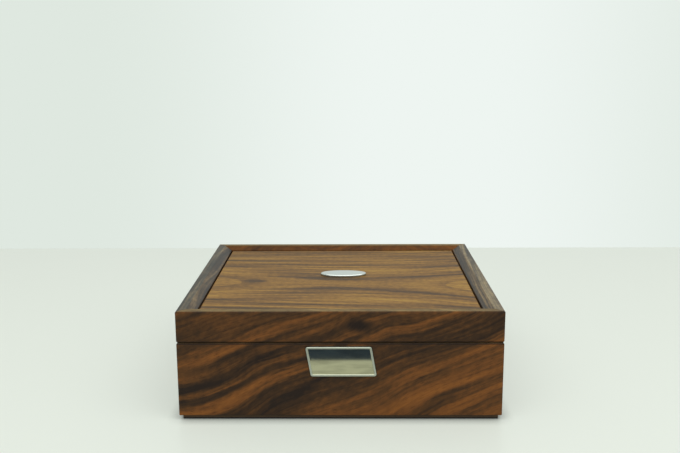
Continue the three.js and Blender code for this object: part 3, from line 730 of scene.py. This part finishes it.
def framed_steel(name, face_colour, rim_colour, edge):
    """Lacquered nickel steel: its sunk face is brushed to a soft mirror that shows what lies in front of the
    case, and the rim that stands in front of edge, a Y, is frosted, so that it catches light all round. The
    brush marks are drawn 0.3 mm apart so that they show, and lie in faint patches of 18 by 5 mm."""
    material, add, shader = new_material(name, Metallic=1.0)
    place = add("TexCoord", out="Object")
    sunk = add("SeparateXYZ", place, out="Y")
    sunk = add("MapRange", sunk, edge - 0.1 * MM, edge + 0.1 * MM)
    scratch = add("VectorMath DIVIDE", place, (14 * MM, 0.3 * MM, 0.3 * MM))
    scratch = add("TexNoise", {"Vector": scratch, "Scale": 1.0, "Detail": 2.0})
    cloud = add("VectorMath DIVIDE", place, (18 * MM, 5 * MM, 5 * MM))
    cloud = add("TexNoise", {"Vector": cloud, "Scale": 1.0, "Detail": 1.0})
    marks = add("Math MULTIPLY_ADD", scratch, 0.5, cloud)
    marks = add("MapRange", marks, 0.6, 0.85)
    mirror = add("Mix", marks, shade(face_colour, 0.75), face_colour, data_type="RGBA")
    colour = add("Mix", sunk, rim_colour, mirror, data_type="RGBA")
    feed(shader, Base_Color=colour, Roughness=add("MapRange", sunk, 0.0, 1.0, 0.42, 0.065))
    return material


def polished(name, colour, rough):
    """A metal buffed to a mirror, or plated over a buffed ground: clear reflections with a faint haze of
    wiping marks in patches of 6 mm."""
    material, add, shader = new_material(name, Base_Color=linear(colour), Metallic=1.0)
    haze = add("TexNoise", {"Vector": add("TexCoord", out="Object"), "Scale": 1 / (6 * MM), "Detail": 3.0})
    feed(shader, Roughness=add("MapRange", haze, 0.3, 0.7, rough * 0.7, rough * 1.4))
    return material


def velvet(name, colour):
    """Cotton velvet with a short upright pile: deep and dark seen head on, paler towards grazing view, with
    brushed patches of 14 mm. The pile is drawn 0.5 mm apart so that it shows."""
    material, add, shader = new_material(
        name, Roughness=0.95, Specular_IOR_Level=0.1, Sheen_Weight=0.8, Sheen_Roughness=0.35,
        Sheen_Tint=linear("#9fb5a5"),
    )
    place = add("TexCoord", out="Object")
    nap = add("TexNoise", {"Vector": place, "Scale": 1 / (14 * MM), "Detail": 2.0})
    pile = add("TexNoise", {"Vector": place, "Scale": 1 / (0.5 * MM), "Detail": 1.0})
    share = add("Math MULTIPLY_ADD", pile, 0.35, nap)
    share = add("MapRange", share, 0.5, 0.85)
    mixed = add("Mix", share, shade(colour, 0.62), colour, data_type="RGBA")
    relief = add("Bump", {"Strength": 0.5, "Distance": 0.15 * MM, "Height": pile})
    feed(shader, Base_Color=mixed, Normal=relief)
    return material


def waxed(name, colour):
    """Linen thread drawn through wax: a dull gloss, and its ply drawn as bands about 0.5 mm apart so that it
    shows."""
    material, add, shader = new_material(name, Roughness=0.55, Specular_IOR_Level=0.4)
    ply = {"Vector": add("TexCoord", out="Object"), "Scale": ONE_BAND / (0.5 * MM), "Distortion": 0.5}
    ply = add("TexWave", ply, out="Fac", bands_direction="DIAGONAL")
    mixed = add("Mix", ply, shade(colour, 0.6), colour, data_type="RGBA")
    feed(shader, Base_Color=mixed)
    return material


def felt(name, colour):
    """Pressed wool felt: dull, with a tangle of short fibres drawn 0.8 mm wide and paler flecks."""
    material, add, shader = new_material(
        name, Roughness=1.0, Specular_IOR_Level=0.1, Sheen_Weight=0.3, Sheen_Roughness=0.6
    )
    place = add("TexCoord", out="Object")
    tangle = {"Vector": place, "Scale": 1 / (0.8 * MM), "Detail": 4.0, "Distortion": 1.5}
    tangle = add("TexNoise", tangle)
    share = add("MapRange", tangle, 0.4, 0.75)
    mixed = add("Mix", share, colour, shade(colour, 2.2), data_type="RGBA")
    relief = add("Bump", {"Strength": 0.6, "Distance": 0.2 * MM, "Height": tangle})
    feed(shader, Base_Color=mixed, Normal=relief)
    return material


def veneered(name, pale, dark, ply, rough):
    """Plywood, sawn and sanded: straight grain along X on its faces, drawn 1.6 mm wide so that it shows, and
    pale and dark plies in turn at its edges, the pale ones ply millimetres apart."""
    material, add, shader = new_material(name, Roughness=rough, Specular_IOR_Level=0.3)
    place = add("TexCoord", out="Object")
    grain = add("VectorMath DIVIDE", place, (80 * MM, 1.6 * MM, 1.6 * MM))
    grain = add("TexNoise", {"Vector": grain, "Scale": 1.0, "Detail": 3.0})
    plies = {"Vector": place, "Scale": ONE_BAND / (ply * MM), "Distortion": 0.3}
    plies = add("TexWave", plies, out="Fac", bands_direction="Z", wave_profile="SIN")
    tone = add("Math MULTIPLY_ADD", plies, 0.35, grain)
    relief = add("Bump", {"Strength": 0.3, "Distance": 0.05 * MM, "Height": grain})
    feed(shader, Base_Color=set_stops(add("ValToRGB", tone), [(0.35, dark), (0.95, pale)]), Normal=relief)
    return material


# The stage


class CASE_OT_stage(bpy.types.Operator):
    """Adds the floor, the pale surroundings, the lamps and the camera"""

    bl_idname = "display_case.stage"
    bl_label = "Stage"

    def execute(self, context):
        stage = context.scene.case_stage
        lacquer, add, shader = new_material(
            "Tabletop_lacquered_satin", Roughness=0.45, Specular_IOR_Level=0.3, Coat_Weight=0.25,
            Coat_Roughness=0.08,
        )
        # Close to the case both glow and colour fade, so that the contact shadow is deep
        near = add("AmbientOcclusion", {"Color": linear("#e6ece2"), "Distance": 12 * MM}, samples=8)
        share = add("Math MULTIPLY", looking(add), stage.floor_glow)
        share = add("Math MULTIPLY", share, near.node.outputs["AO"])
        shown = add("MixShader", share, shader.outputs[0], add("Emission", linear("#e8efe5"), 1.0))
        feed(shader, Base_Color=near)
        feed(lacquer.node_tree.nodes["Material Output"], Surface=shown)
        self.add_sheet("floor", lacquer, far=stage.floor_end, near=-6.0, level=0.0)
        # A glowing flag over the near table, seen only in reflections and from above, is a painted reflection
        # that darkens the plate's upper half
        cloth, add, _ = new_material("Studio_flag_painted_reflection")
        behind = add("NewGeometry", out="Backfacing")
        shown = add("MixShader", behind, add("Emission", linear("#425066"), 1.0), add("BsdfTransparent"))
        feed(cloth.node_tree.nodes["Material Output"], Surface=shown)
        flag = self.add_sheet("flag", cloth, far=stage.flag_edge, near=stage.flag_edge - 0.5, level=1 * MM)
        flag.visible_camera = flag.visible_diffuse = flag.visible_shadow = flag.visible_transmission = False
        self.add_lamp("key", stage.key, size=(3.0, 1.6), place=(0.15, -0.8, 1.25))
        self.add_lamp("back", stage.back, size=(3.0, 1.2), place=(-0.1, 0.6, 1.4))
        self.add_world(context.scene, stage)
        self.add_camera(context.scene, stage)
        return {"FINISHED"}

    def add_sheet(self, name, material, far, near, level):
        """A wide level sheet between two places in Y."""
        half_width = 5.0
        corners = [(-half_width, near), (half_width, near), (half_width, far), (-half_width, far)]
        mesh = bpy.data.meshes.new(name)
        mesh.from_pydata([(x, y, level) for x, y in corners], [], [(0, 1, 2, 3)])
        mesh.materials.append(material)
        sheet = new_object(name, mesh)
        return sheet

    def add_lamp(self, name, power, size, place):
        """A broad lamp that faces the case."""
        lamp = bpy.data.lights.new(name, "AREA")
        lamp.shape = "RECTANGLE"
        lamp.size, lamp.size_y = size
        lamp.energy = power
        holder = new_object(name, lamp)
        holder.location = place
        target = Vector((0.0, 0.0, 0.05))
        holder.rotation_euler = (target - Vector(place)).to_track_quat("-Z", "Y").to_euler()

    def add_world(self, scene, stage):
        """Sky light for the object, and the pale wall wherever a ray or its mirror image looks past it."""
        world = bpy.data.worlds.new("Pale_room")
        world.use_nodes = True
        world.node_tree.nodes.clear()
        add = functools.partial(add_node, world.node_tree)
        sky = add("Background", linear("#f4f7f4"), stage.ambient)
        aside = add("SeparateXYZ", add("TexCoord", out="Generated"), out="X")
        aside = add("Math SUBTRACT", aside, stage.glow_side)
        aside = add("Math ABSOLUTE", aside)
        fall = add("MapRange", aside, 0.05, 0.4, interpolation_type="SMOOTHSTEP")
        tint = add("Mix", fall, linear("#eef5f1"), linear("#dfe8e0"), data_type="RGBA")
        wall = add("Background", tint, 1.0)
        add("OutputWorld", add("MixShader", looking(add), sky, wall))
        scene.world = world
        scene.view_settings.view_transform = "Standard"

    def add_camera(self, scene, stage):
        """The camera, aimed by its tilt, turn and roll."""
        camera = bpy.data.cameras.new("camera")
        camera.lens = stage.lens
        camera.sensor_width = 36
        camera.clip_start = 0.01
        holder = new_object("camera", camera)
        aim = Matrix.Rotation(-stage.turn, 4, "Z") @ Matrix.Rotation(math.pi / 2 - stage.tilt, 4, "X")
        aim = aim @ Matrix.Rotation(stage.roll, 4, "Z")
        holder.matrix_world = Matrix.Translation(stage.camera_place) @ aim
        scene.camera = holder


# The case


class CASE_OT_boards(bpy.types.Operator):
    """Adds the four mitred boards of the box and the four mitred rails of the lid"""

    bl_idname = "display_case.boards"
    bl_label = "Boards and Rails"

    def execute(self, context):
        arris = context.scene.case_sizes.arris
        front = walnut("Black_walnut_figured_oiled", FRONT_GRAIN, FRONT_TONES, FRONT_SHEEN_TONES, 0.6, 0.15)
        back = walnut("Black_walnut_back_oiled", BACK_GRAIN, BACK_TONES, FRONT_SHEEN_TONES, 0.6, 0.1)
        sides = walnut("Black_walnut_sides_oiled", SIDE_GRAIN, SIDE_TONES, SIDE_SHEEN_TONES, 0.5, 0.2)
        walls = (("front", 0, front), ("back", 0, back), ("left", 1, sides), ("right", 1, sides))
        for side, axis, wood in walls:
            for body, part, kind in (("box", "base", "board"), ("lid", "lid", "rail")):
                node = f"{part}_{side}_{kind}"
                eased_piece(f"{side}_{kind}", node, wood, body, "walnut", arris, running(axis))
        return {"FINISHED"}


class CASE_OT_panel(bpy.types.Operator):
    """Adds the lid's floating panel"""

    bl_idname = "display_case.panel"
    bl_label = "Lid Panel"

    def execute(self, context):
        wood = walnut("Black_walnut_panel_oiled", PANEL_GRAIN, PANEL_TONES, PANEL_TONES, 0.6, 0.2)
        arris = context.scene.case_sizes.arris
        eased_piece("floating_panel", "lid_panel", wood, "lid", "walnut_panel", arris, longer(5 * MM))
        return {"FINISHED"}


class CASE_OT_plate(bpy.types.Operator):
    """Adds the skewed plate with its raised rim"""

    bl_idname = "display_case.plate"
    bl_label = "Front Plate"

    # Width and depth of the slope at the foot of the rim
    FOOT = 0.1 * MM
    # Least radius of a corner
    LEAST = 0.15 * MM
    CORNER_STEPS = 8

    def execute(self, context):
        sizes = context.scene.case_sizes
        low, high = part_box("front_plate")
        face = low.y
        outer = quarter_round(sizes.plate_round, 4)
        inner = quarter_round(sizes.plate_recess - self.FOOT, 4)
        profile = [(0.0, high.y)]
        profile += [(inward, face + short) for inward, short in outer]
        profile += [(sizes.plate_rim - inward, face + short) for inward, short in reversed(inner)]
        profile += [(sizes.plate_rim + self.FOOT, face + sizes.plate_recess)]
        rings = []
        for inset, depth in profile:
            rings.append([(p.x, depth, p.y) for p in self.outline(sizes, low, high, inset)])
        colours = context.scene.case_colours
        middle = face + sizes.plate_recess / 2
        steel = framed_steel("Nickel_steel_frosted_rim", colours.steel, colours.rim, middle)
        plate = loft("skewed_plate", rings, 30)
        new_piece("skewed_plate", plate, steel, "box", "satin_steel", "front_plate")
        return {"FINISHED"}

    def outline(self, sizes, low, high, inset):
        """The plate's edge in X and Z, moved inwards, with true arcs at its four corners."""
        height = high.z - low.z
        slant = math.atan2(sizes.plate_skew, height)
        centre = Vector(((low.x + high.x) / 2, (low.z + high.z) / 2))
        radius = max(sizes.plate_corner - inset, self.LEAST)
        into = inset + radius
        half_height = height / 2 - into
        half_width = sizes.plate_width / 2 - into / math.cos(slant)
        shift = sizes.plate_skew * half_height / height
        corners = (
            (half_width + shift, -half_height, -math.pi / 2, slant),
            (half_width - shift, half_height, slant, math.pi / 2),
            (-half_width - shift, half_height, math.pi / 2, math.pi + slant),
            (-half_width + shift, -half_height, math.pi + slant, 1.5 * math.pi),
        )
        points = []
        for x, z, first, last in corners:
            for step in range(self.CORNER_STEPS + 1):
                angle = first + (last - first) * step / self.CORNER_STEPS
                points.append(centre + Vector((x, z)) + radius * Vector((math.cos(angle), math.sin(angle))))
        return points


class CASE_OT_plaque(bpy.types.Operator):
    """Adds the oval plaque on the lid, with its posts"""

    bl_idname = "display_case.plaque"
    bl_label = "Lid Plaque"

    # Rounding of the plaque's foot and of its posts
    FOOT = 0.15 * MM
    SIDES = 96

    def execute(self, context):
        centre, half = middle_and_half("lid_plaque")
        low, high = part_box("lid_plaque")
        profile = [(self.FOOT, low.z), (0.0, low.z + self.FOOT)]
        bevel = quarter_round(context.scene.case_sizes.plaque_bevel, 6)
        profile += [(inward, high.z - short) for inward, short in bevel]
        angles = [2 * math.pi * i / self.SIDES for i in range(self.SIDES)]
        circle = [(math.cos(a), math.sin(a)) for a in angles]
        rings = []
        for inset, level in profile:
            reach_x, reach_y = half.x - inset, half.y - inset
            rings.append([(centre.x + reach_x * x, centre.y + reach_y * y, level) for x, y in circle])
        steel = polished("Stainless_steel_polished", "#c2c7c4", 0.1)
        plaque = loft("oval_plaque", rings, 40)
        new_piece("oval_plaque", plaque, steel, "lid", "polished_steel", "lid_plaque")
        for side in ("left", "right"):
            name, node = f"plaque_post_{side}", f"plaque_stud_{side}"
            new_piece(name, rod(name, node, self.FOOT, 24), steel, "lid", "polished_steel", node)
        return {"FINISHED"}


class CASE_OT_bottom(bpy.types.Operator):
    """Adds the stained bottom board and the felt under it"""

    bl_idname = "display_case.bottom"
    bl_label = "Bottom and Felt"

    def execute(self, context):
        stained = veneered("Birch_plywood_stained_dark", "#5c4833", "#3b2d20", 0.8, 0.6)
        wool = felt("Wool_felt_pressed", linear("#15130f"))
        arris = context.scene.case_sizes.arris
        board = eased_piece("stained_bottom", "bottom_board", stained, "box", "stained_board", arris)
        pad = eased_piece("felt_underside", "base_felt", wool, "box", "felt", width=0.2 * MM)
        return {"FINISHED"}


class CASE_OT_insert(bpy.types.Operator):
    """Adds the insert's plywood floor and bearers, and its velvet liners and dividers"""

    bl_idname = "display_case.insert"
    bl_label = "Insert"

    # Rounding of the velvet where it is folded over a liner or a divider
    LINER_FOLD = 0.35 * MM
    DIVIDER_FOLD = 0.9 * MM

    def execute(self, context):
        plywood = veneered("Birch_plywood_sanded", "#d6bd92", "#b4935f", 1.0, 0.7)
        pile = velvet("Cotton_velvet_over_board", context.scene.case_colours.velvet)
        wooden = (plywood, "box", "plywood", context.scene.case_sizes.arris)
        liner = (pile, "box", "velvet", self.LINER_FOLD)
        divider = (pile, "box", "velvet", self.DIVIDER_FOLD)
        pieces = [("insert_base", "insert_floor", wooden)]
        pieces += [(f"bearer_{side}", f"floor_bearer_{side}", wooden) for side in ("left", "right")]
        pieces += [(f"{side}_liner", f"liner_{side}", liner) for side in ("front", "back", "left", "right")]
        pieces += [("divider_long", "long_divider_1", divider)]
        pieces += [(f"divider_cross_{i}", f"cross_divider_{i}", divider) for i in (1, 2, 3)]
        for name, node, made_as in pieces:
            eased_piece(name, node, *made_as, longer(30 * MM), segments=4, smooth=35)
        return {"FINISHED"}


class CASE_OT_cushions(bpy.types.Operator):
    """Adds the padded cushions of the bays and the padded lining of the lid, with piping and stitches"""

    bl_idname = "display_case.cushions"
    bl_label = "Cushions and Lining"

    # Row of the lining's mesh, counted from the seam, that is stitched
    SEWN_ROW = 2
    CORNER = 3 * MM

    def execute(self, context):
        sizes = context.scene.case_sizes
        pile = velvet("Cotton_velvet_on_foam", context.scene.case_colours.velvet)
        cushions = []
        for node in sorted(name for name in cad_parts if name.startswith("knife_cushion_")):
            pad = Pad(
                node.replace("knife", "velvet"), node, crown=3 * MM, waist=0.5 * MM, corner=self.CORNER,
                mesh_width=sizes.weave,
            )
            cushions.append((pad, node, "box"))
        lining = Pad(
            "padded_lid_lining", "lid_lining", crown=1.8 * MM, waist=1.0 * MM, corner=self.CORNER,
            mesh_width=1.6 * sizes.weave, down=True,
        )
        padded = cushions + [(lining, "lid_lining", "lid")]
        blow_up([pad for pad, *_ in padded], pressure=4.0, spare=0.03, reach=1.5 * MM, frames=20)
        for i in lining.row(self.SEWN_ROW):
            lining.mesh.vertices[i].co.z += sizes.pucker
        for pad, node, body in padded:
            piece = new_piece(pad.name, pad.mesh, pile, body, "velvet", node)
            for polygon in piece.data.polygons:
                polygon.use_smooth = True
            smoother = piece.modifiers.new("subdivision", "SUBSURF")
            smoother.levels = smoother.render_levels = 1
        cushion_pads = [pad for pad, *_ in cushions]
        for name, body, pads in (("cushion_piping", "box", cushion_pads), ("lining_piping", "lid", [lining])):
            inputs = {"Radius": sizes.piping, "Material": pile}
            new_piece(name, grown(name, *self.loops(pads, 0), piping_tree(), inputs), pile, body, "velvet")
        thread = waxed("Linen_thread_waxed", context.scene.case_colours.thread)
        inputs = {"Length": sizes.stitch, "Step": sizes.stitch_step, "Thickness": sizes.thread}
        inputs["Material"] = thread
        mesh = grown("lining_stitches", *self.loops([lining], self.SEWN_ROW), stitches_tree(), inputs)
        new_piece("lining_stitches", mesh, thread, "lid", "velvet")
        return {"FINISHED"}

    def loops(self, pads, inset):
        """Points and edges of one closed loop round each pad."""
        points, edges = [], []
        for pad in pads:
            row = pad.row(inset)
            first = len(points)
            points += [pad.mesh.vertices[i].co.copy() for i in row]
            edges += [(first + i, first + (i + 1) % len(row)) for i in range(len(row))]
        return points, edges


class CASE_OT_hinges(bpy.types.Operator):
    """Adds the hinge leaves, their pins and their screws"""

    bl_idname = "display_case.hinges"
    bl_label = "Hinges"

    # Rounding of a leaf's edges and of a pin's ends
    LEAF_EDGE = 0.12 * MM
    PIN_EDGE = 0.3 * MM

    def execute(self, context):
        sizes = context.scene.case_sizes
        leaf_steel = brushed("Stainless_steel_brushed", "#a3a199", 0.32, 0.5)
        pin_steel = polished("Stainless_steel_ground", "#8f8d86", 0.2)
        screw_steel = polished("Stainless_steel_turned", "#a3a199", 0.3)
        slot = "hinge_steel"
        edging = {"width": self.LEAF_EDGE, "chosen": bent, "segments": 1, "smooth": 35}
        for side in ("left", "right"):
            for body, part in (("box", "base"), ("lid", "lid")):
                name, node = f"{side}_hinge_{body}_leaf", f"hinge_{side}_{part}_leaf"
                eased_piece(name, node, leaf_steel, body, slot, **edging)
            name, node = f"{side}_hinge_pin", f"hinge_{side}_pin"
            new_piece(name, rod(name, node, self.PIN_EDGE, 32, axis="X"), pin_steel, "box", slot, node)
        tree = screws_tree()
        for body, part, tilt, seed in (("box", "base", 0.0, 3), ("lid", "lid", math.pi, 8)):
            nodes = sorted(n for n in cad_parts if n.startswith("hinge_") and f"_{part}_screw_" in n)
            points = []
            for low, high in map(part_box, nodes):
                points.append(((low.x + high.x) / 2, (low.y + high.y) / 2, low.z if tilt else high.z))
            low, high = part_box(nodes[0])
            inputs = {
                "Head Radius": sizes.screw_head, "Shank Radius": sizes.screw_shank,
                "Slot Width": sizes.screw_slot, "Length": high.z - low.z, "Tilt": (tilt, 0.0, 0.0),
                "Seed": seed, "Material": screw_steel,
            }
            name = f"{body}_hinge_screws"
            new_piece(name, grown(name, points, [], tree, inputs), screw_steel, body, slot, *nodes)
        return {"FINISHED"}


class CASE_OT_magnets(bpy.types.Operator):
    """Adds the magnets that hold the lid shut"""

    bl_idname = "display_case.magnets"
    bl_label = "Magnets"

    EDGE = 0.3 * MM

    def execute(self, context):
        nickel = polished("Nickel_plated_magnet", "#a8a59d", 0.14)
        for body, part in (("box", "base"), ("lid", "lid")):
            for side in ("left", "right"):
                name, node = f"{body}_magnet_disc_{side}", f"{part}_magnet_{side}"
                new_piece(name, rod(name, node, self.EDGE, 64), nickel, body, "nickel", node)
        return {"FINISHED"}


OPERATORS = (
    CASE_OT_stage, CASE_OT_boards, CASE_OT_panel, CASE_OT_plate, CASE_OT_plaque, CASE_OT_bottom,
    CASE_OT_insert, CASE_OT_cushions, CASE_OT_hinges, CASE_OT_magnets,
)
GROUPS = {"case_colours": CaseColours, "case_sizes": CaseSizes, "case_stage": CaseStage}


class CASE_PT_sidebar(bpy.types.Panel):
    """Lists what the case is made of"""

    bl_label = "Display Case"
    bl_idname = "CASE_PT_sidebar"
    bl_space_type = "VIEW_3D"
    bl_region_type = "UI"
    bl_category = "Display Case"

    def draw(self, context):
        for name in GROUPS:
            group = getattr(context.scene, name)
            for key in group.__annotations__:
                self.layout.prop(group, key)
        for operator in OPERATORS:
            self.layout.operator(operator.bl_idname)


def register():
    for kind in (*GROUPS.values(), *OPERATORS, CASE_PT_sidebar):
        bpy.utils.register_class(kind)
    for name, group in GROUPS.items():
        setattr(bpy.types.Scene, name, PointerProperty(type=group))


def unregister():
    for name in GROUPS:
        delattr(bpy.types.Scene, name)
    for kind in (CASE_PT_sidebar, *reversed(OPERATORS), *reversed(GROUPS.values())):
        bpy.utils.unregister_class(kind)


def main():
    register()
    for operator in OPERATORS:
        group, name = operator.bl_idname.split(".")
        getattr(getattr(bpy.ops, group), name)()


if __name__ == "__main__":
    main()
